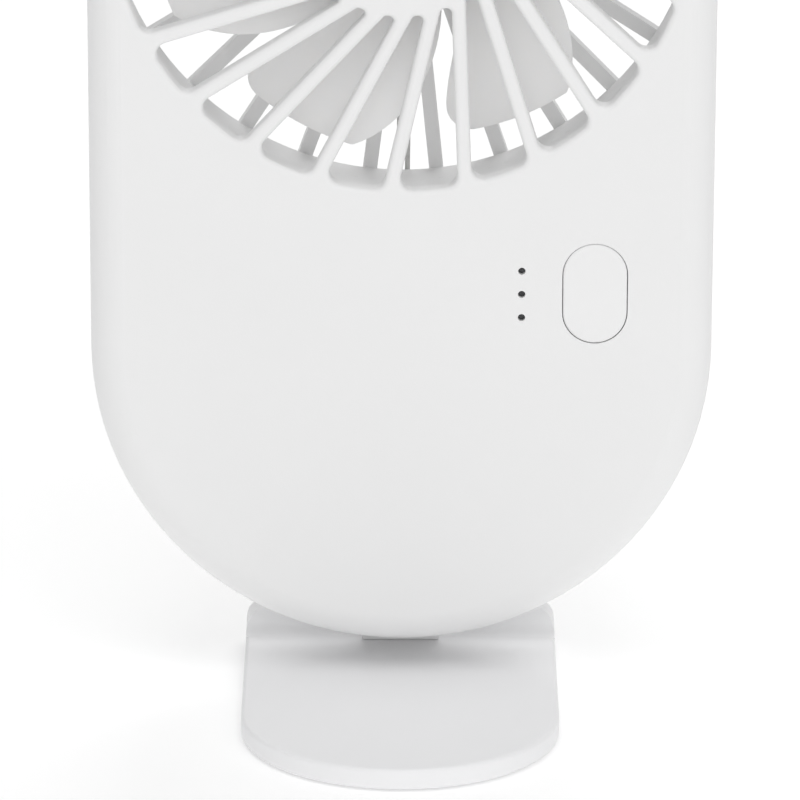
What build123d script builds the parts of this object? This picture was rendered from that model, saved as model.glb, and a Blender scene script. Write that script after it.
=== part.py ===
from build123d import *
from math import asin, cos, radians, sin, sqrt
import os

# A slim pocket fan that stands on a fold-out foot.
# Millimetres, +Z up, front towards -Y, origin at the middle of the footprint on the table.
# "Depth" is always measured back from the front face of the body.

os.makedirs("parts", exist_ok=True)

# Foot and its hinge
foot_width = 36.8
foot_radius = foot_width / 2
foot_thickness = 2.4
foot_reach = 47.6
foot_top_round = 0.5
foot_low_round = 0.3
pad_proud = 0.2
pad_sunk = 0.6
pad_margin = 2.2
pad_straight = 22.0
barrel_radius = 2.65
bend_radius = 2.0
ridge_corner = 2.9
hinge_lift = 0.3
hinge_height = pad_proud + foot_thickness + hinge_lift
hinge_y = (foot_reach + barrel_radius) / 2 - barrel_radius
pin_radius = 0.75
pin_clearance = 0.03
pin_inset = 0.5
washer_radius = 2.2
washer_thickness = 0.3
knuckle_width = 7.6
knuckle_front = 5.3
knuckle_back = 3.5
knuckle_drop = 0.1
knuckle_rise = 1.5
lip_width = 9.05
lip_thickness = 0.9
lip_height = 4.5
lip_gap = 0.08
notch_width = 8.4
notch_front = 4.9
beyond = 60

# Body
body_width = 72.0
body_radius = body_width / 2
body_thickness = 16.5
body_lift = 3.3
body_to_hinge = 0.2
fan_to_base = 52.6
front_fillet = 4.0
back_fillet = 3.4
wall = 1.8
face_thickness = 2.2
back_wall = 1.8
parting = 9.0
seam_chamfer = 0.15
front_y = hinge_y - body_to_hinge - body_thickness
base_z = pad_proud + foot_thickness + body_lift
fan_z = base_z + body_radius + fan_to_base
inner_back = body_thickness - back_wall

# Air duct and grilles
duct_radius = 34.15
duct_wall = 1.5
rim_depth = 13.3
rim_flare = 36.4
front_ribs = 24
front_rib_start = 197.24
front_rib_offset = 5.96
front_rib_width = 1.64
slot_inner = 12.3
slot_outer = 32.9
slot_inner_corner = 0.6
slot_outer_corner = 1.4
slot_edge_round = 0.6
selection_band = 0.35
rear_ribs = 28
rear_rib_start = 211.6
rear_rib_offset = 0.48
rear_rib_width = 1.64
rear_rib_length = 25.2
rear_rib_root = 1.0
rear_hub = 12.4
grille_near = 14.0
grille_far = 16.2

# Broad spoke at the bottom of the rear grille, with the channel for the motor leads
channel_between = (4, 5)
channel_near = 13.0
channel_width = 2.4
channel_length = 27.4
channel_floor = 13.7
channel_roof = 15.2
channel_inner = 9.6
spoke_root = 0.6
spoke_reach = 1.2

# Pocket in the back for the folded foot
pocket_depth = 3.2
pocket_gap = 0.5
pocket_skin = 1.2
pocket_rim = 1.4
pocket_run = 40.0
pocket_floor = body_thickness - pocket_depth
fold_arc_z = hinge_height + foot_reach - foot_radius

# Screws that close the body, given across and up from the fan's axis
screw_points = [(-29.5, -32.5), (29.5, -32.5), (-25.0, -70.5), (25.0, -70.5)]
screw_tower = 2.6
screw_core = 0.8
screw_hole_end = 5.0
screw_tip = 5.2
screw_seat = 13.6
screw_head = 1.6
screw_head_height = 1.0
screw_head_hole = 1.9
screw_passage = 0.95
driver_length = 1.8
driver_width = 0.4
driver_depth = 0.6

# Main board, its screws and components
board_x = 20.5
board_z = -47.5
board_width = 21.0
board_length = 22.0
board_corner = 1.0
board_near = 6.4
board_far = 7.4
board_screw_points = [(12.5, -56.0), (28.5, -39.0)]
board_tower = 1.8
board_screw_core = 0.6
board_hole_end = 4.0
board_screw_tip = 4.2
board_screw_hole = 0.7
board_screw_head = 1.2
board_screw_head_height = 0.8
# Across, up, width, length, corner, height
board_chips = [
    (19.0, -44.0, 5.0, 5.0, 0.2, 1.0),
    (19.0, -52.5, 4.0, 4.0, 0.6, 2.0),
    (24.5, -53.0, 3.0, 3.6, 0.2, 0.9),
]

# Button and its switch
button_x = 22.3
button_z = -45.1
button_width = 7.4
button_length = 11.9
button_gap = 0.08
button_edge_round = 0.25
cap_depth = 2.6
flange_width = 9.0
flange_length = 13.6
flange_near = 2.35
flange_far = 3.0
stem_radius = 1.6
stem_near = 2.9
plunger_near = 3.6
plunger_radius = 1.2
plunger_length = 1.3
switch_near = 4.4
switch_width = 4.5
switch_corner = 0.4
switch_bore = 1.35
switch_bore_depth = 1.2

# Indicator lights
indicator_x = 13.85
indicator_z = -45.2
indicator_pitch = 2.8
indicator_radius = 0.43
guide_front = 0.6
guide_clearance = 0.03
guide_root = 0.2
guide_width = 2.2
guide_length = 8.2
guide_thickness = 3.2
led_near = 5.7
led_width = 1.6
led_height = 1.0
led_corner = 0.1

# Charging port in the right side wall
usb_z = -47.5
usb_inset = 0.4
usb_mouth_width = 9.2
usb_mouth_height = 3.4
usb_mouth_depth = 4.0
sleeve_width = 8.94
sleeve_height = 3.16
sleeve_sheet = 0.3
sleeve_length = 7.2
sleeve_inside = 6.6
tongue_width = 6.6
tongue_thickness = 0.7
tongue_length = 5.6

# Battery
cell_x = -6.0
cell_z = -57.5
cell_width = 30.0
cell_length = 38.0
cell_corner = 1.5
cell_edge_round = 1.0
cell_near = 3.0
cell_thickness = 8.2
cell_pad_margin = 2.0
cell_board_z = -37.4
cell_board_near = 5.0
cell_board_width = 16.0
cell_board_sheet = 2.0
cell_board_depth = 4.0

# Impeller
blade_count = 7
blade_start = 193.1
blade_tip = 29.4
blade_root = 11.05
blade_thickness = 0.9
blade_middle = 7.0
blade_camber = 0.7
blade_front_corner = 2.6
blade_back_corner = 1.0
# Distance from the axis, ends of the section, its balance point and its slope
blade_sections = [
    (6.0, -6.0, 14.0, 5.0, 0.60),
    (18.0, -11.0, 16.0, 3.0, 0.46),
    (31.0, -14.0, 16.0, 0.3, 0.36),
]
# Radius and angle along the blade's two edges
blade_front_edge = [(blade_root, 7), (18, -5.5), (25, -14.0), (blade_tip, -15.5)]
blade_back_edge = [(blade_tip, 14.2), (26.5, 21.5), (20.5, 33.0), (blade_root, 49)]
hub_radius = 11.5
hub_wall = 0.9
hub_face = 1.0
hub_round = 0.8
hub_near = 3.2
hub_far = 11.2

# Motor: turning half
cup_radius = hub_radius - hub_wall
cup_sheet = 0.5
cup_near = hub_near + hub_face
cup_far = 11.0
magnet_inner = 9.0
magnet_near = 5.2
magnet_far = 10.8
shaft_radius = 1.0
shaft_clearance = 0.03
shaft_end = 13.0
clip_near = 12.4
clip_radius = 1.7
clip_thickness = 0.4

# Motor: fixed half
bush_radius = 2.0
bush_near = 5.8
bush_far = 12.1
tower_radius = 3.0
tower_near = 5.6
tower_far = 13.4
seat_radius = 4.2
seat_near = 12.4
seat_root = 0.5
tooth_count = 9
tooth_width = 1.4
tooth_end = 8.0
core_radius = 4.4
core_near = 6.6
core_far = 9.4
shoe_start = 7.9
shoe_thickness = 0.6
shoe_width = 4.2
coil_start = 5.3
coil_length = 2.4
coil_width = 2.8
coil_near = 5.9
coil_far = 10.1
motor_board_near = 11.4
motor_board_radius = 9.8
motor_board_sheet = 0.8

# Leads
lead_depth = 14.3
lead_start = 0.7
lead_beyond_duct = 3.5
motor_wire = 0.3
motor_wire_bend = 0.9
cell_wire = 0.4
cell_wire_bend = 1.2

fan_axis = Axis((0, front_y, fan_z), (0, 1, 0))


def upright(depth):
    """Plane facing forward at a depth, centred on the fan: sketch X is across, sketch Y is up."""
    return Plane(origin=(0, front_y + depth, fan_z), x_dir=(1, 0, 0), z_dir=(0, -1, 0))


def polar(radius, angle):
    """Point at a radius and an angle in degrees."""
    return (radius * cos(radians(angle)), radius * sin(radians(angle)))


def stadium_shape(inset, mode=Mode.ADD):
    """Outline of the body in the open sketch, inset from its outer face."""
    with Locations((0, -fan_to_base / 2)):
        SlotCenterToCenter(fan_to_base, body_width - 2 * inset, rotation=90, mode=mode)


def stadium(depth):
    """Outline of the body at a depth."""
    with BuildSketch(upright(depth)) as shape:
        stadium_shape(0)
    return shape.sketch


def circle(depth, radius, points=((0, 0),)):
    """Round outlines at a depth."""
    with BuildSketch(upright(depth)) as shape:
        with Locations(*points):
            Circle(radius)
    return shape.sketch


def ring(depth, outer, inner):
    """Ring outline about the fan's axis."""
    with BuildSketch(upright(depth)) as shape:
        Circle(outer)
        Circle(inner, mode=Mode.SUBTRACT)
    return shape.sketch


def handle_cavity(depth):
    """Space inside the walls, below the air duct."""
    with BuildSketch(upright(depth)) as shape:
        stadium_shape(wall)
        Circle(duct_radius + duct_wall, mode=Mode.SUBTRACT)
    return shape.sketch


def upright_slot(depth, x, z, width, length):
    """Round-ended outline, standing on end."""
    with BuildSketch(upright(depth)) as shape:
        with Locations((x, z)):
            SlotOverall(length, width, rotation=90)
    return shape.sketch


def panel(depth, x, z, width, height, corner):
    """Rectangle with round corners at a depth."""
    with BuildSketch(upright(depth)) as shape:
        with Locations((x, z)):
            RectangleRounded(width, height, corner)
    return shape.sketch


def front_slots(depth):
    """Openings between the slanted ribs of the front grille."""
    pitch = 360 / front_ribs
    low = front_rib_offset + front_rib_width / 2
    high = front_rib_offset - front_rib_width / 2

    def edge_point(offset, angle, radius):
        """Where a rib's edge, running at an angle and offset from the centre, meets a circle."""
        along = polar(sqrt(radius**2 - offset**2), angle)
        across = polar(offset, angle + 90)
        return (along[0] + across[0], along[1] + across[1])

    with BuildSketch(Plane.XY) as one:
        with BuildLine():
            a = edge_point(low, 0, slot_inner)
            b = edge_point(low, 0, slot_outer)
            c = edge_point(high, pitch, slot_outer)
            d = edge_point(high, pitch, slot_inner)
            middle = (asin(low / slot_outer) + asin(high / slot_outer) + radians(pitch)) / 2
            Line(a, b)
            ThreePointArc(b, (slot_outer * cos(middle), slot_outer * sin(middle)), c)
            Line(c, d)
            Line(d, a)
        make_face()
        fillet(one.vertices().group_by(SortBy.DISTANCE)[0], slot_inner_corner)
        fillet(one.vertices().sort_by(SortBy.DISTANCE)[-2:], slot_outer_corner)
    with BuildSketch(upright(depth)) as shape:
        with PolarLocations(0, front_ribs, start_angle=front_rib_start):
            add(one.sketch)
    return shape.sketch


def pocket_shape(grow):
    """Outline of the folded foot in the open sketch, grown outwards and open below the body."""
    with Locations((0, fold_arc_z - fan_z)):
        Circle(foot_radius + grow)
        Rectangle(2 * (foot_radius + grow), pocket_run, align=(Align.CENTER, Align.MAX))


def on_slot_rim(edge):
    """Whether an edge runs round the front of one of the grille's openings."""
    middle = edge.center()
    radius = sqrt(middle.X**2 + (middle.Z - fan_z) ** 2)
    on_face = edge.bounding_box().max.Y < front_y + selection_band
    rib_long = edge.length < 1.2 * (slot_outer - slot_inner)
    return on_face and rib_long and radius < slot_outer + selection_band


def usb_opening():
    """Mouth of the charging port in the right side wall, on the parting line."""
    side = Plane(
        origin=(body_radius + 1, front_y + parting, fan_z + usb_z), x_dir=(0, 0, 1), z_dir=(1, 0, 0)
    )
    with BuildSketch(side) as shape:
        SlotOverall(usb_mouth_width, usb_mouth_height)
    return shape.sketch


def pad_outline():
    """Outline of the rubber pad in the open sketch."""
    with Locations((0, hinge_y - foot_reach + foot_radius)):
        Circle(foot_radius - pad_margin)
        Rectangle(foot_width - 2 * pad_margin, pad_straight, align=(Align.CENTER, Align.MIN))


indicator_points = [(indicator_x, indicator_z + i * indicator_pitch) for i in (-1, 0, 1)]

# Whole outside of the body, used to trim what reaches its skin
with BuildPart() as envelope:
    extrude(stadium(0), amount=-body_thickness)
    fillet(envelope.faces().sort_by(Axis.Y)[0].edges(), front_fillet)
    fillet(envelope.faces().sort_by(Axis.Y)[-1].edges(), back_fillet)

# Front shell: face, slanted grille, half of the walls, screw towers
with BuildPart() as front_shell:
    extrude(stadium(0), amount=-parting)
    chamfer(front_shell.faces().sort_by(Axis.Y)[-1].edges(), seam_chamfer)
    fillet(front_shell.faces().sort_by(Axis.Y)[0].edges(), front_fillet)
    extrude(handle_cavity(face_thickness), amount=face_thickness - parting, mode=Mode.SUBTRACT)
    extrude(circle(face_thickness, duct_radius), amount=face_thickness - parting, mode=Mode.SUBTRACT)
    extrude(front_slots(0), amount=-face_thickness, mode=Mode.SUBTRACT)
    fillet(front_shell.edges().filter_by(on_slot_rim), slot_edge_round)
    extrude(circle(face_thickness, screw_tower, screw_points), amount=face_thickness - parting)
    extrude(circle(face_thickness, board_tower, board_screw_points), amount=face_thickness - board_near)
    extrude(
        circle(screw_hole_end, screw_core, screw_points),
        amount=screw_hole_end - parting,
        mode=Mode.SUBTRACT,
    )
    extrude(
        circle(board_hole_end, board_screw_core, board_screw_points),
        amount=board_hole_end - board_near,
        mode=Mode.SUBTRACT,
    )
    extrude(
        upright_slot(0, button_x, button_z, button_width + 2 * button_gap, button_length + 2 * button_gap),
        amount=-face_thickness,
        mode=Mode.SUBTRACT,
    )
    extrude(circle(0, indicator_radius, indicator_points), amount=-face_thickness, mode=Mode.SUBTRACT)
    extrude(usb_opening(), amount=-usb_mouth_depth, mode=Mode.SUBTRACT)
front_shell.part.label = "front_shell"
export_step(front_shell.part, "parts/front_shell.step")

rib_pitch = 360 / rear_ribs
channel_angle = rear_rib_start + sum(channel_between) / 2 * rib_pitch


def spoke_corner(radius, side):
    """Outer edge of the broad spoke at a radius, along its own direction."""
    return (radius, side * (radius * sin(radians(rib_pitch / 2)) + rear_rib_width / 2))


broad_spoke = [
    spoke_corner(rear_hub - spoke_root, -1),
    spoke_corner(duct_radius + spoke_reach, -1),
    spoke_corner(duct_radius + spoke_reach, 1),
    spoke_corner(rear_hub - spoke_root, 1),
]

# Rear grille: round motor seat on straight spokes
with BuildPart() as rear_grille:
    with BuildSketch(upright(grille_near)):
        Circle(rear_hub)
        with PolarLocations(0, rear_ribs, start_angle=rear_rib_start):
            with Locations((rear_hub - rear_rib_root, rear_rib_offset)):
                Rectangle(rear_rib_length, rear_rib_width, align=(Align.MIN, Align.CENTER))
    extrude(amount=grille_near - grille_far)
    # Broad spoke that fills the space between the two lowest ribs and carries the motor leads
    with BuildSketch(upright(channel_near)):
        with PolarLocations(0, 1, start_angle=channel_angle):
            with Locations((0, rear_rib_offset)):
                with BuildLine():
                    Polyline(*broad_spoke, close=True)
                make_face()
    extrude(amount=channel_near - grille_far)
    add(envelope.part, mode=Mode.INTERSECT)

# Rear shell: back wall with the foot's pocket, rear grille and the hinge knuckle
with BuildPart() as rear_shell:
    extrude(stadium(parting), amount=parting - body_thickness)
    chamfer(rear_shell.faces().sort_by(Axis.Y)[0].edges(), seam_chamfer)
    fillet(rear_shell.faces().sort_by(Axis.Y)[-1].edges(), back_fillet)
    extrude(handle_cavity(parting), amount=parting - inner_back, mode=Mode.SUBTRACT)
    extrude(circle(parting, screw_tower, screw_points), amount=parting - inner_back)
    with BuildSketch(upright(pocket_floor - pocket_skin)):
        pocket_shape(pocket_gap + pocket_rim)
        stadium_shape(wall / 2, mode=Mode.INTERSECT)
    extrude(amount=pocket_floor - pocket_skin - inner_back)
    with BuildSketch(upright(pocket_floor)):
        pocket_shape(pocket_gap)
    extrude(amount=-pocket_depth - 1, mode=Mode.SUBTRACT)
    extrude(circle(parting, duct_radius), amount=parting - body_thickness, mode=Mode.SUBTRACT)
    extrude(
        circle(rim_depth, duct_radius),
        amount=rim_depth - body_thickness,
        taper=-rim_flare,
        mode=Mode.SUBTRACT,
    )
    add(rear_grille.part)
    extrude(circle(seat_near, seat_radius), amount=seat_near - grille_near - seat_root)
    extrude(circle(seat_near, tower_radius), amount=seat_near - tower_far, mode=Mode.SUBTRACT)
    extrude(
        circle(parting, screw_passage, screw_points),
        amount=parting - body_thickness,
        mode=Mode.SUBTRACT,
    )
    extrude(
        circle(screw_seat, screw_head_hole, screw_points),
        amount=screw_seat - body_thickness,
        mode=Mode.SUBTRACT,
    )
    extrude(usb_opening(), amount=-usb_mouth_depth, mode=Mode.SUBTRACT)
    # Channel for the motor leads inside the broad spoke, out through the wall of the duct
    with BuildSketch(upright(channel_floor)):
        with PolarLocations(0, 1, start_angle=channel_angle):
            with Locations((channel_inner, rear_rib_offset)):
                Rectangle(channel_length, channel_width, align=(Align.MIN, Align.CENTER))
    extrude(amount=channel_floor - channel_roof, mode=Mode.SUBTRACT)
    # Knuckle under the body, around the hinge pin
    with BuildSketch(Plane.YZ) as knuckle:
        with BuildLine():
            Polyline(
                (hinge_y - knuckle_front, hinge_height - knuckle_drop),
                (hinge_y - knuckle_front, base_z + knuckle_rise),
                (hinge_y - knuckle_back, base_z + knuckle_rise),
                (hinge_y - knuckle_back, hinge_height + barrel_radius),
                (hinge_y, hinge_height + barrel_radius),
                (hinge_y, hinge_height - knuckle_drop),
                close=True,
            )
        make_face()
        with Locations((hinge_y, hinge_height)):
            Circle(barrel_radius)
            Circle(pin_radius, mode=Mode.SUBTRACT)
    extrude(amount=knuckle_width / 2, both=True)
    # Wider lip of the knuckle, which hides the notch in the foot
    with BuildSketch(Plane.YZ):
        with Locations((hinge_y - knuckle_front, pad_proud + foot_thickness + lip_gap)):
            Rectangle(lip_thickness, lip_height, align=(Align.MIN, Align.MIN))
    extrude(amount=lip_width / 2, both=True)
rear_shell.part.label = "rear_shell"
export_step(rear_shell.part, "parts/rear_shell.step")

# Foot: round-ended plate with a barrel across its back end
with BuildPart() as stand_foot:
    with BuildSketch(Plane.XY.offset(pad_proud)) as plan:
        with Locations((0, hinge_y - foot_reach + foot_radius)):
            Circle(foot_radius)
            Rectangle(foot_width, foot_reach - foot_radius, align=(Align.CENTER, Align.MIN))
    extrude(amount=foot_thickness)
    fillet(stand_foot.faces().sort_by(Axis.Z)[-1].edges(), foot_top_round)
    fillet(stand_foot.faces().sort_by(Axis.Z)[0].edges(), foot_low_round)
    bend_rise = bend_radius - hinge_lift
    bend_run = sqrt((barrel_radius + bend_radius) ** 2 - bend_rise**2)
    touch = barrel_radius / (barrel_radius + bend_radius)
    with BuildSketch(Plane.YZ) as ridge:
        with BuildLine():
            Polyline(
                (hinge_y - bend_run, hinge_height - hinge_lift),
                (hinge_y - bend_run * touch, hinge_height + bend_rise * touch),
                (hinge_y, hinge_height),
                (hinge_y, pad_proud + knuckle_drop),
                (hinge_y - bend_run, pad_proud + knuckle_drop),
                close=True,
            )
        make_face()
        with Locations((hinge_y - bend_run, hinge_height + bend_rise)):
            Circle(bend_radius, mode=Mode.SUBTRACT)
        with Locations((hinge_y, hinge_height)):
            Circle(barrel_radius)
    extrude(amount=foot_width / 2, both=True)
    with BuildSketch(Plane.XZ) as front_form:
        Rectangle(foot_width, hinge_height + barrel_radius, align=(Align.CENTER, Align.MIN))
        fillet(front_form.vertices().sort_by(Axis.Y)[-2:], ridge_corner)
    extrude(amount=beyond, both=True, mode=Mode.INTERSECT)
    with BuildSketch(Plane.XY):
        with Locations((0, hinge_y - notch_front)):
            Rectangle(notch_width, beyond, align=(Align.CENTER, Align.MIN))
    extrude(amount=beyond, mode=Mode.SUBTRACT)
    with BuildSketch(Plane.YZ):
        with Locations((hinge_y, hinge_height)):
            Circle(pin_radius + pin_clearance)
    extrude(amount=foot_width, both=True, mode=Mode.SUBTRACT)
    with BuildSketch(Plane.XY.offset(pad_proud)):
        pad_outline()
    extrude(amount=pad_sunk, mode=Mode.SUBTRACT)
stand_foot.part.label = "stand_foot"
export_step(stand_foot.part, "parts/stand_foot.step")

# Rubber pad let into the underside of the foot
with BuildPart() as foot_pad:
    with BuildSketch(Plane.XY):
        pad_outline()
    extrude(amount=pad_proud + pad_sunk)
foot_pad.part.label = "foot_pad"
export_step(foot_pad.part, "parts/foot_pad.step")

# Hinge pin, pressed into the knuckle
with BuildPart() as hinge_pin:
    with BuildSketch(Plane.YZ):
        with Locations((hinge_y, hinge_height)):
            Circle(pin_radius)
    extrude(amount=foot_width / 2 - pin_inset, both=True)
hinge_pin.part.label = "hinge_pin"
export_step(hinge_pin.part, "parts/hinge_pin.step")

# Friction washers between the knuckle and the barrel
with BuildPart() as hinge_washers:
    for side in (-1, 1):
        gap_middle = side * (knuckle_width + notch_width) / 4
        with BuildSketch(Plane.YZ.offset(gap_middle - washer_thickness / 2)):
            with Locations((hinge_y, hinge_height)):
                Circle(washer_radius)
                Circle(pin_radius + pin_clearance, mode=Mode.SUBTRACT)
        extrude(amount=washer_thickness)
hinge_washers.part.label = "hinge_washers"
export_step(hinge_washers.part, "parts/hinge_washers.step")

# Mode button: cap, flange behind the face, short stem
with BuildPart() as mode_button:
    extrude(upright_slot(0, button_x, button_z, button_width, button_length), amount=-cap_depth)
    fillet(mode_button.faces().sort_by(Axis.Y)[0].edges(), button_edge_round)
    extrude(
        upright_slot(flange_near, button_x, button_z, flange_width, flange_length),
        amount=flange_near - flange_far,
    )
    extrude(circle(stem_near, stem_radius, [(button_x, button_z)]), amount=stem_near - plunger_near)
mode_button.part.label = "mode_button"
export_step(mode_button.part, "parts/mode_button.step")

with BuildPart() as switch_plunger:
    extrude(circle(plunger_near, plunger_radius, [(button_x, button_z)]), amount=-plunger_length)
switch_plunger.part.label = "switch_plunger"
export_step(switch_plunger.part, "parts/switch_plunger.step")

with BuildPart() as tact_switch:
    extrude(
        panel(switch_near, button_x, button_z, switch_width, switch_width, switch_corner),
        amount=switch_near - board_near,
    )
    extrude(
        circle(switch_near, switch_bore, [(button_x, button_z)]),
        amount=-switch_bore_depth,
        mode=Mode.SUBTRACT,
    )
tact_switch.part.label = "tact_switch"
export_step(tact_switch.part, "parts/tact_switch.step")

# Light guide behind the three indicator holes
with BuildPart() as light_guide:
    extrude(
        circle(guide_front, indicator_radius - guide_clearance, indicator_points),
        amount=guide_front - face_thickness - guide_root,
    )
    extrude(
        upright_slot(face_thickness, indicator_x, indicator_z, guide_width, guide_length),
        amount=-guide_thickness,
    )
light_guide.part.label = "light_guide"
export_step(light_guide.part, "parts/light_guide.step")

with BuildPart() as indicator_leds:
    for x, z in indicator_points:
        extrude(panel(led_near, x, z, led_width, led_height, led_corner), amount=led_near - board_near)
indicator_leds.part.label = "indicator_leds"
export_step(indicator_leds.part, "parts/indicator_leds.step")

# Main board and what is soldered to it
with BuildPart() as main_board:
    extrude(
        panel(board_near, board_x, board_z, board_width, board_length, board_corner),
        amount=board_near - board_far,
    )
    extrude(
        circle(board_near, board_screw_hole, board_screw_points),
        amount=board_near - board_far,
        mode=Mode.SUBTRACT,
    )
main_board.part.label = "main_board"
export_step(main_board.part, "parts/main_board.step")

with BuildPart() as board_components:
    for x, z, width, length, corner, height in board_chips:
        extrude(panel(board_far, x, z, width, length, corner), amount=-height)
board_components.part.label = "board_components"
export_step(board_components.part, "parts/board_components.step")

with BuildPart() as board_screws:
    extrude(circle(board_far, board_screw_head, board_screw_points), amount=-board_screw_head_height)
    extrude(
        circle(board_screw_tip, board_screw_core, board_screw_points),
        amount=board_screw_tip - board_far,
    )
board_screws.part.label = "board_screws"
export_step(board_screws.part, "parts/board_screws.step")

# Charging port: metal sleeve and its contact tongue, opening to the right
usb_mouth_x = body_radius - usb_inset
usb_plane = Plane(
    origin=(usb_mouth_x, front_y + parting, fan_z + usb_z), x_dir=(0, 0, 1), z_dir=(1, 0, 0)
)
with BuildPart() as usb_socket:
    with BuildSketch(usb_plane):
        SlotOverall(sleeve_width, sleeve_height)
    extrude(amount=-sleeve_length)
    with BuildSketch(usb_plane):
        SlotOverall(sleeve_width - 2 * sleeve_sheet, sleeve_height - 2 * sleeve_sheet)
    extrude(amount=-sleeve_inside, mode=Mode.SUBTRACT)
usb_socket.part.label = "usb_socket"
export_step(usb_socket.part, "parts/usb_socket.step")

with BuildPart() as usb_tongue:
    with BuildSketch(usb_plane.offset(-sleeve_inside)):
        Rectangle(tongue_width, tongue_thickness)
    extrude(amount=tongue_length)
usb_tongue.part.label = "usb_tongue"
export_step(usb_tongue.part, "parts/usb_tongue.step")

# Battery with its foam pad and protection board
with BuildPart() as battery_cell:
    extrude(
        panel(cell_near, cell_x, cell_z, cell_width, cell_length, cell_corner), amount=-cell_thickness
    )
    fillet(battery_cell.faces().sort_by(Axis.Y)[0].edges(), cell_edge_round)
    fillet(battery_cell.faces().sort_by(Axis.Y)[-1].edges(), cell_edge_round)
battery_cell.part.label = "battery_cell"
export_step(battery_cell.part, "parts/battery_cell.step")

with BuildPart() as battery_pad:
    pad_width = cell_width - 2 * cell_pad_margin
    pad_length = cell_length - 2 * cell_pad_margin
    extrude(
        panel(face_thickness, cell_x, cell_z, pad_width, pad_length, cell_edge_round),
        amount=face_thickness - cell_near,
    )
battery_pad.part.label = "battery_pad"
export_step(battery_pad.part, "parts/battery_pad.step")

with BuildPart() as battery_board:
    extrude(
        panel(cell_board_near, cell_x, cell_board_z, cell_board_width, cell_board_sheet, 0.2),
        amount=-cell_board_depth,
    )
battery_board.part.label = "battery_board"
export_step(battery_board.part, "parts/battery_board.step")

# Housing screws from the back
with BuildPart() as housing_screws:
    extrude(circle(screw_seat, screw_head, screw_points), amount=-screw_head_height)
    extrude(circle(screw_tip, screw_core, screw_points), amount=screw_tip - screw_seat)
    with BuildSketch(upright(screw_seat + screw_head_height)):
        with Locations(*screw_points):
            Rectangle(driver_length, driver_width)
            Rectangle(driver_width, driver_length)
    extrude(amount=driver_depth, mode=Mode.SUBTRACT)
housing_screws.part.label = "housing_screws"
export_step(housing_screws.part, "parts/housing_screws.step")

# One blade: a pitched, cambered sheet pointing along +X, trimmed to its outline
with BuildPart() as blade:
    for station, low, high, centre, pitch in blade_sections:
        near = (low, pitch * (low - centre) - blade_middle)
        far = (high, pitch * (high - centre) - blade_middle)
        middle = ((low + high) / 2, (near[1] + far[1]) / 2 - blade_camber)
        cut = Plane(origin=(station, front_y, fan_z), x_dir=(0, 0, 1), z_dir=(1, 0, 0))
        with BuildSketch(cut):
            with BuildLine():
                ThreePointArc(near, middle, far)
                Line(far, (far[0], far[1] - blade_thickness))
                ThreePointArc(
                    (far[0], far[1] - blade_thickness),
                    (middle[0], middle[1] - blade_thickness),
                    (near[0], near[1] - blade_thickness),
                )
                Line((near[0], near[1] - blade_thickness), near)
            make_face()
    loft()
    with BuildSketch(upright(0)) as planform:
        with BuildLine():
            front_edge = [polar(*point) for point in blade_front_edge]
            back_edge = [polar(*point) for point in blade_back_edge]
            Spline(*front_edge)
            ThreePointArc(front_edge[-1], polar(blade_tip, 0), back_edge[0])
            Spline(*back_edge)
            ThreePointArc(back_edge[-1], polar(blade_root, 28), front_edge[0])
        make_face()
        corners = planform.vertices().sort_by(SortBy.DISTANCE)[-2:]
        fillet(corners.sort_by(Axis.Y)[0], blade_front_corner)
        back_corner = planform.vertices().filter_by_position(Axis.X, 28.0, 28.9).sort_by(Axis.Y)[-1]
        fillet(back_corner, blade_back_corner)
    extrude(amount=-body_thickness, mode=Mode.INTERSECT)

# Impeller: hub cup with seven blades
with BuildPart() as impeller:
    extrude(circle(hub_near, hub_radius), amount=hub_near - hub_far)
    fillet(impeller.faces().sort_by(Axis.Y)[0].edges(), hub_round)
    extrude(circle(cup_near, cup_radius), amount=cup_near - hub_far, mode=Mode.SUBTRACT)
    for i in range(blade_count):
        add(blade.part.rotate(fan_axis, -blade_start - i * 360 / blade_count))
impeller.part.label = "impeller"
export_step(impeller.part, "parts/impeller.step")

with BuildPart() as rotor_cup:
    extrude(circle(cup_near, cup_radius), amount=cup_near - cup_far)
    extrude(
        circle(cup_near + cup_sheet, cup_radius - cup_sheet),
        amount=cup_near + cup_sheet - cup_far,
        mode=Mode.SUBTRACT,
    )
    extrude(circle(cup_near, shaft_radius), amount=-cup_sheet, mode=Mode.SUBTRACT)
rotor_cup.part.label = "rotor_cup"
export_step(rotor_cup.part, "parts/rotor_cup.step")

with BuildPart() as rotor_magnet:
    extrude(ring(magnet_near, cup_radius - cup_sheet, magnet_inner), amount=magnet_near - magnet_far)
rotor_magnet.part.label = "rotor_magnet"
export_step(rotor_magnet.part, "parts/rotor_magnet.step")

with BuildPart() as motor_shaft:
    extrude(circle(cup_near, shaft_radius), amount=cup_near - shaft_end)
motor_shaft.part.label = "motor_shaft"
export_step(motor_shaft.part, "parts/motor_shaft.step")

with BuildPart() as shaft_clip:
    extrude(ring(clip_near, clip_radius, shaft_radius), amount=-clip_thickness)
shaft_clip.part.label = "shaft_clip"
export_step(shaft_clip.part, "parts/shaft_clip.step")

# Bearing: sintered bush in a brass tower that stands in the motor seat
with BuildPart() as motor_bush:
    extrude(ring(bush_near, bush_radius, shaft_radius + shaft_clearance), amount=bush_near - bush_far)
motor_bush.part.label = "motor_bush"
export_step(motor_bush.part, "parts/motor_bush.step")

with BuildPart() as bearing_tower:
    extrude(ring(tower_near, tower_radius, bush_radius), amount=tower_near - tower_far)
bearing_tower.part.label = "bearing_tower"
export_step(bearing_tower.part, "parts/bearing_tower.step")

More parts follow.
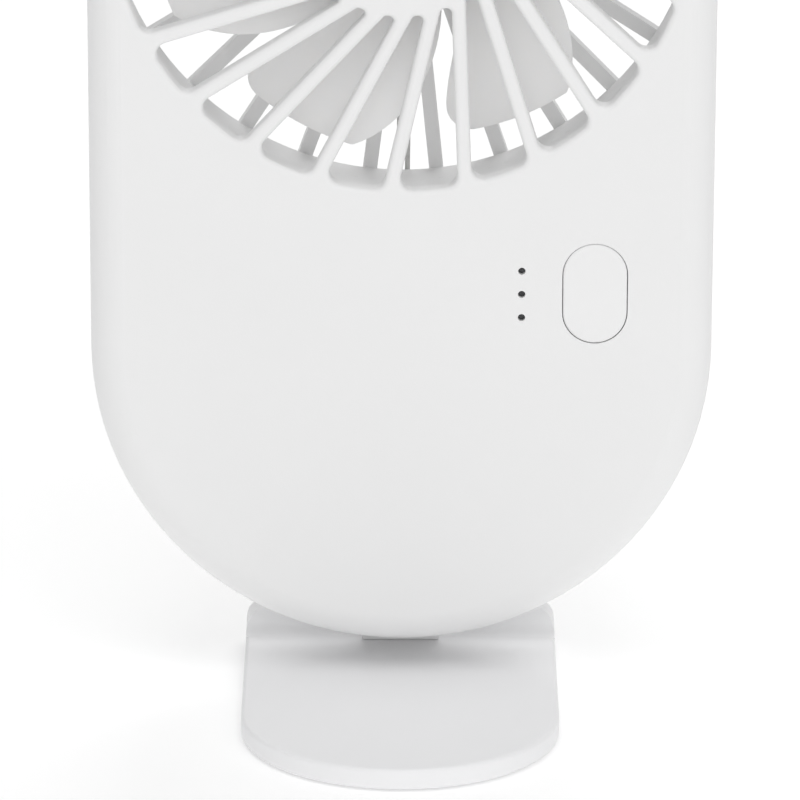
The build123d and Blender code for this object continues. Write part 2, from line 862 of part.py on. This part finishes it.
# Stator: laminated core with nine teeth, one coil around each
with BuildPart() as stator_core:
    with BuildSketch(upright(core_near)):
        Circle(core_radius)
        with PolarLocations(0, tooth_count):
            Rectangle(tooth_end, tooth_width, align=(Align.MIN, Align.CENTER))
            with Locations((shoe_start, 0)):
                Rectangle(shoe_thickness, shoe_width, align=(Align.MIN, Align.CENTER))
        Circle(tower_radius, mode=Mode.SUBTRACT)
    extrude(amount=core_near - core_far)
stator_core.part.label = "stator_core"
export_step(stator_core.part, "parts/stator_core.step")

with BuildPart() as stator_coils:
    with BuildSketch(upright(coil_near)):
        with PolarLocations(0, tooth_count):
            with Locations((coil_start, 0)):
                Rectangle(coil_length, coil_width, align=(Align.MIN, Align.CENTER))
    extrude(amount=coil_near - coil_far)
    add(stator_core.part, mode=Mode.SUBTRACT)
stator_coils.part.label = "stator_coils"
export_step(stator_coils.part, "parts/stator_coils.step")

with BuildPart() as motor_board:
    extrude(ring(motor_board_near, motor_board_radius, tower_radius), amount=-motor_board_sheet)
motor_board.part.label = "motor_board"
export_step(motor_board.part, "parts/motor_board.step")


def lead(points, radius, bend):
    """Round wire along straight runs joined by arcs."""
    with BuildPart() as wire:
        with BuildLine() as route:
            FilletPolyline(*points, radius=bend)
        with BuildSketch(Plane(origin=route.line @ 0, z_dir=route.line % 0)):
            Circle(radius)
        sweep(path=route.line)
    return wire.part


def place(x, z, depth):
    """Point given across, up from the fan's axis, and back from the face."""
    return (x, front_y + depth, fan_z + z)


# Leads from the motor through the broad spoke and down to the main board
with BuildPart() as motor_leads:
    for shift in (-0.5, 0.5):
        offset = polar(rear_rib_offset + shift, channel_angle + 90)
        near = polar(channel_inner + lead_start, channel_angle)
        far = polar(duct_radius + lead_beyond_duct - shift, channel_angle)
        route_points = [
            place(near[0] + offset[0], near[1] + offset[1], lead_depth),
            place(far[0] + offset[0], far[1] + offset[1], lead_depth),
            place(6.0, -37.0 + 0.8 * shift, 12.8),
            place(14.5, -38.2 + shift, 7.75),
        ]
        add(lead(route_points, motor_wire, motor_wire_bend))
motor_leads.part.label = "motor_leads"
export_step(motor_leads.part, "parts/motor_leads.step")

with BuildPart() as battery_leads:
    for shift in (0.0, 1.3):
        route_points = [
            place(2.15, -37.4, 6.3 + shift),
            place(9.4, -37.4, 8.3 + shift),
            place(12.6, -40.6 - shift, 7.85),
        ]
        add(lead(route_points, cell_wire, cell_wire_bend))
battery_leads.part.label = "battery_leads"
export_step(battery_leads.part, "parts/battery_leads.step")
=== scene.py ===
import bpy
from math import cos, radians, sin
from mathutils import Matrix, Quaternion, Vector


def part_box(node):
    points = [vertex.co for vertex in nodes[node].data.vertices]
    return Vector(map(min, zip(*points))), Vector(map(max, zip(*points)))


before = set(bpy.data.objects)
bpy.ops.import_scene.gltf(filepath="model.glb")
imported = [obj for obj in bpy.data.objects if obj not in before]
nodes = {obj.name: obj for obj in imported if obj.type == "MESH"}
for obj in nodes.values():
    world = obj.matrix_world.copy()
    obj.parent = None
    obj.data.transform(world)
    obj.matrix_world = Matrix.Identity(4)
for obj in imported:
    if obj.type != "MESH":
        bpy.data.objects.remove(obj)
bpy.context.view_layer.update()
MM = 0.001


WHITE = (1.0, 1.0, 1.0, 1.0)

# ---------------------------------------------------------------- camera

# A long lens looks a little down on the front, level from side to side.
CAMERA_PITCH = radians(18.35)
CAMERA_DISTANCE = 0.781
CAMERA_LENS = 303.5
CAMERA_FAR = 10.0
CAMERA_ROLL = radians(0.18)
AIM_FROM_FAN = Vector((-0.13, 0, -58.05)) * MM

face_low, face_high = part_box("front_shell")
fan_centre = Vector((0, face_low.y, face_high.z - (face_high.x - face_low.x) / 2))
aim = fan_centre + AIM_FROM_FAN
view_line = Vector((0, cos(CAMERA_PITCH), -sin(CAMERA_PITCH)))
camera_data = bpy.data.cameras.new("camera")
camera_data.lens = CAMERA_LENS
camera_data.clip_end = CAMERA_FAR
camera = bpy.data.objects.new("camera", camera_data)
camera.location = aim - CAMERA_DISTANCE * view_line
level = view_line.to_track_quat("-Z", "Y")
camera.rotation_euler = (level @ Quaternion((0, 0, 1), CAMERA_ROLL)).to_euler()
bpy.context.scene.collection.objects.link(camera)
bpy.context.scene.camera = camera

# ---------------------------------------------------------------- studio


LIGHT_TARGET = Vector((0, 0, 0.07))
WORLD_STRENGTH = 0.45
FLOOR_GLOW = 0.22


def area_light(name, place, size, power):
    """Soft square light aimed at the object, in metres and watts."""
    data = bpy.data.lights.new(name, "AREA")
    data.energy = power
    data.size = size
    lamp = bpy.data.objects.new(name, data)
    lamp.location = place
    lamp.rotation_euler = (LIGHT_TARGET - Vector(place)).to_track_quat("-Z", "Y").to_euler()
    bpy.context.scene.collection.objects.link(lamp)


area_light("key", (0.7, -1.0, 1.0), 1.0, 2.4)
area_light("front_fill", (0.0, -1.5, 0.5), 1.0, 3.0)
area_light("top", (0.0, -0.5, 1.4), 1.0, 5.2)
area_light("back", (0.2, 0.9, 0.9), 0.8, 4.4)

world = bpy.data.worlds.new("studio")
world.use_nodes = True
background = world.node_tree.nodes["Background"]
background.inputs["Color"].default_value = WHITE
background.inputs["Strength"].default_value = WORLD_STRENGTH
bpy.context.scene.world = world
bpy.context.scene.view_settings.view_transform = "Standard"

# ---------------------------------------------------------------- materials

# Noise scales are in features per metre, and bump depths in metres.
FLOW_SCALE = 55
FLOW_TONE = 0.012
POLISH_SCALE = 600
MOTTLE_SCALE = 260
PLASTIC_IOR = 1.49
SCATTER_COLOUR = (1.0, 0.96, 0.9)
SCATTER_REACH = 0.0015
METAL_VARIATION = 0.15
METAL_DEPTH = 0.00001
# How far roughness strays below and above its mean
PLASTIC_SPREAD = (0.05, 0.07)
METAL_SPREAD = (0.06, 0.1)
COAT_SPREAD = (0.06, 0.08)
PLASTIC_BUMP = 0.35
METAL_BUMP = 0.2
COAT_BUMP = 0.3
CREASE = radians(28)
WELD_DISTANCE = 0.000001


class Recipe:
    """A new material and short ways to add nodes to it."""

    def __init__(self, name, **sockets):
        self.material = bpy.data.materials.new(name)
        self.material.use_nodes = True
        self.tree = self.material.node_tree
        self.shader = self.tree.nodes["Principled BSDF"]
        for socket, value in sockets.items():
            self.shader.inputs[socket.replace("_", " ")].default_value = value

    def node(self, kind, **settings):
        """Adds a node; a setting is one of its sockets, or else a property."""
        made = self.tree.nodes.new(kind)
        for name, value in settings.items():
            if name in made.inputs:
                made.inputs[name].default_value = value
            else:
                setattr(made, name, value)
        return made

    def link(self, source, target):
        """Joins an output to an input."""
        self.tree.links.new(source, target)

    def noise(self, scale, detail=3.0, roughness=0.5):
        """Noise in object coordinates."""
        place = self.node("ShaderNodeTexCoord")
        made = self.node("ShaderNodeTexNoise", Scale=scale, Detail=detail, Roughness=roughness)
        self.link(place.outputs["Object"], made.inputs["Vector"])
        return made.outputs["Fac"]

    def between(self, factor, low, high):
        """Maps 0 to 1 onto low to high."""
        made = self.node("ShaderNodeMapRange")
        made.inputs["To Min"].default_value = low
        made.inputs["To Max"].default_value = high
        self.link(factor, made.inputs["Value"])
        return made.outputs["Result"]

    def tint(self, factor, first, second):
        """Blends two colours."""
        made = self.node("ShaderNodeMix", data_type="RGBA")
        colours = [socket for socket in made.inputs if socket.type == "RGBA"]
        colours[0].default_value = first
        colours[1].default_value = second
        self.link(factor, made.inputs["Factor"])
        return next(socket for socket in made.outputs if socket.type == "RGBA")

    def bump(self, height, strength, distance):
        """Raises the surface by a height map."""
        made = self.node("ShaderNodeBump", Strength=strength, Distance=distance)
        self.link(height, made.inputs["Height"])
        self.link(made.outputs["Normal"], self.shader.inputs["Normal"])

    def texture(self, rough, spread, grain, strength, depth, detail=3.0):
        """Fine grain: gloss that varies about a mean roughness, and a bump to match."""
        fine = self.noise(grain, detail=detail)
        gloss = self.between(fine, rough - spread[0], rough + spread[1])
        self.link(gloss, self.shader.inputs["Roughness"])
        self.bump(fine, strength, depth)

    def mottle(self, colour, variation, scale):
        """Base colour that darkens in patches by up to a share of itself."""
        darker = tuple(part * (1 - variation) for part in colour) + (1.0,)
        tone = self.tint(self.noise(scale), darker, (*colour, 1.0))
        self.link(tone, self.shader.inputs["Base Color"])


def grey(level, warm=0.0):
    """Near-neutral colour: warm above 0 adds red and takes blue, below 0 it adds blue alone."""
    return (level + max(warm, 0.0), level, level - warm, 1.0)


def moulded_plastic(name, level, warm=0.0, rough=0.42, grain=6500, depth=0.00002, scatter=0.0):
    """Moulded plastic: fine spark-eroded grain, faint flow marks, slightly uneven gloss."""
    recipe = Recipe(name, Specular_IOR_Level=0.45, IOR=PLASTIC_IOR)
    flow = recipe.noise(FLOW_SCALE, detail=4.0)
    colour = recipe.tint(flow, grey(level - FLOW_TONE, warm), grey(level + FLOW_TONE, warm))
    recipe.link(colour, recipe.shader.inputs["Base Color"])
    recipe.texture(rough, PLASTIC_SPREAD, grain, PLASTIC_BUMP, depth, detail=2.0)
    if scatter:
        recipe.shader.inputs["Subsurface Weight"].default_value = scatter
        recipe.shader.inputs["Subsurface Radius"].default_value = SCATTER_COLOUR
        recipe.shader.inputs["Subsurface Scale"].default_value = SCATTER_REACH
    return recipe.material


def metal(name, colour, rough, grain=4000):
    """Metal with a slightly uneven polish."""
    recipe = Recipe(name, Metallic=1.0)
    recipe.mottle(colour, METAL_VARIATION, POLISH_SCALE)
    recipe.texture(rough, METAL_SPREAD, grain, METAL_BUMP, METAL_DEPTH)
    return recipe.material


def coated(name, colour, rough, variation=0.2, grain=3000, depth=0.00002):
    """Opaque coloured surface with a mottled tone and a fine texture."""
    recipe = Recipe(name)
    recipe.mottle(colour, variation, MOTTLE_SCALE)
    recipe.texture(rough, COAT_SPREAD, grain, COAT_BUMP, depth)
    return recipe.material


white_shell = moulded_plastic("white_shell", 0.86)
white_button = moulded_plastic("white_button", 0.87, rough=0.38)
white_foot = moulded_plastic("white_foot", 0.92, warm=-0.008)
blade_plastic = moulded_plastic("blade_plastic", 0.94, warm=0.005, rough=0.36, grain=3000, scatter=0.35)
steel = metal("steel", (0.62, 0.62, 0.64), 0.3)
bright_steel = metal("bright_steel", (0.72, 0.72, 0.73), 0.22)
lamination = metal("lamination", (0.30, 0.31, 0.33), 0.45)
brass = metal("brass", (0.74, 0.57, 0.28), 0.3)
bronze = metal("bronze", (0.52, 0.35, 0.18), 0.5)
copper = metal("copper", (0.72, 0.34, 0.16), 0.32)
foil = metal("foil", (0.72, 0.73, 0.75), 0.38, grain=900)
circuit_green = coated("circuit_green", (0.03, 0.17, 0.08), 0.35)
black_mould = coated("black_mould", (0.03, 0.03, 0.032), 0.5)
magnet = coated("magnet", (0.06, 0.06, 0.065), 0.6)
# Dark glossy light guide: painted shade that keeps the LED holes dark
painted_hole_shade = coated("painted_hole_shade", (0.035, 0.037, 0.04), 0.18, depth=0.000005)
led_resin = coated("led_resin", (0.80, 0.78, 0.62), 0.25)
grey_rubber = coated("grey_rubber", (0.42, 0.42, 0.42), 0.75, variation=0.1, grain=2200, depth=0.00005)
black_foam = coated("black_foam", (0.05, 0.05, 0.05), 0.9, grain=1500, depth=0.0001)
red_wire = coated("red_wire", (0.55, 0.04, 0.03), 0.45)
grey_wire = coated("grey_wire", (0.62, 0.62, 0.61), 0.45, variation=0.06)

FINISHES = {
    "front_shell": white_shell,
    "rear_shell": white_shell,
    "stand_foot": white_foot,
    "mode_button": white_button,
    "impeller": blade_plastic,
    "rotor_cup": steel,
    "rotor_magnet": magnet,
    "motor_shaft": bright_steel,
    "shaft_clip": black_mould,
    "motor_bush": bronze,
    "bearing_tower": brass,
    "stator_core": lamination,
    "stator_coils": copper,
    "motor_board": circuit_green,
    "main_board": circuit_green,
    "battery_board": circuit_green,
    "board_components": black_mould,
    "board_screws": steel,
    "housing_screws": steel,
    "battery_cell": foil,
    "battery_pad": black_foam,
    "battery_leads": red_wire,
    "motor_leads": grey_wire,
    "usb_socket": bright_steel,
    "usb_tongue": black_mould,
    "switch_plunger": black_mould,
    "tact_switch": black_mould,
    # The light guide's dark gloss is painted shade in the LED holes
    "light_guide": painted_hole_shade,
    "indicator_leds": led_resin,
    "hinge_pin": bright_steel,
    "hinge_washers": bright_steel,
    "foot_pad": grey_rubber,
}


def dress(name, material):
    """Gives a CAD node its material, and smooth shading between its sharp edges."""
    node = nodes[name]
    node.data.materials.clear()
    node.data.materials.append(material)
    for polygon in node.data.polygons:
        polygon.use_smooth = True
        polygon.material_index = 0
    weld = node.modifiers.new("weld", "WELD")
    weld.merge_threshold = WELD_DISTANCE
    split = node.modifiers.new("split", "EDGE_SPLIT")
    split.split_angle = CREASE
    weighted = node.modifiers.new("weighted", "WEIGHTED_NORMAL")
    weighted.keep_sharp = True


for name, material in FINISHES.items():
    dress(name, material)

# ---------------------------------------------------------------- floor

HALF_FLOOR = 6.0
FLOOR_DROP = 0.0001
floor_corners = [(-1, -1), (1, -1), (1, 1), (-1, 1)]
floor_mesh = bpy.data.meshes.new("floor")
floor_mesh.from_pydata([(x * HALF_FLOOR, y * HALF_FLOOR, 0) for x, y in floor_corners], [], [range(4)])
floor = bpy.data.objects.new("floor", floor_mesh)
floor.location.z = -FLOOR_DROP
floor_white = coated("floor_white", (0.93, 0.93, 0.93), 0.7, variation=0.01, depth=0.000005)
floor_shader = floor_white.node_tree.nodes["Principled BSDF"]
floor_shader.inputs["Emission Color"].default_value = WHITE
floor_shader.inputs["Emission Strength"].default_value = FLOOR_GLOW
floor.data.materials.append(floor_white)
bpy.context.scene.collection.objects.link(floor)
